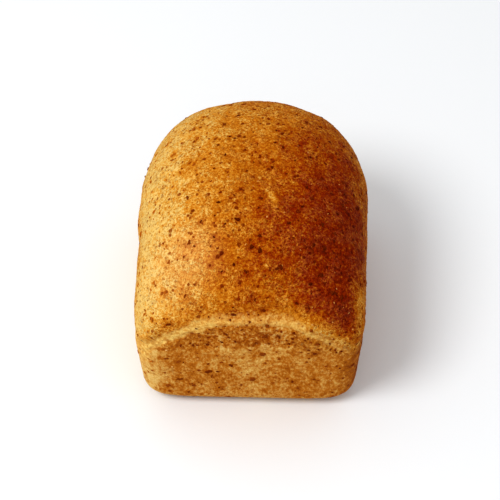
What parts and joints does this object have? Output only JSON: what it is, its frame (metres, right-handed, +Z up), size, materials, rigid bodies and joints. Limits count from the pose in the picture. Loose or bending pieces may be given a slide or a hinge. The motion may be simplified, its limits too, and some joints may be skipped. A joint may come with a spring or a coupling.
{
  "type": "multigrain tin loaf",
  "caption": "Small uncut multigrain loaf with straight tin-baked walls, a torn seam and a domed golden crust flecked with bran.",
  "frame": {"origin": "middle of the loaf's box, on the surface that it rests on", "axes": "+Z up, Y along the loaf's length with the shown end towards -Y, X across it"},
  "size_m": [0.1082, 0.1302, 0.098],
  "materials": {
    "crust": "baked wholegrain crust, golden brown on the dome, paler on the walls, finely wrinkled",
    "grain": "dry dark bran flakes and cracked grains"
  },
  "bodies": {
    "root": {"loaf": "crust"}
  },
  "joints": []
}
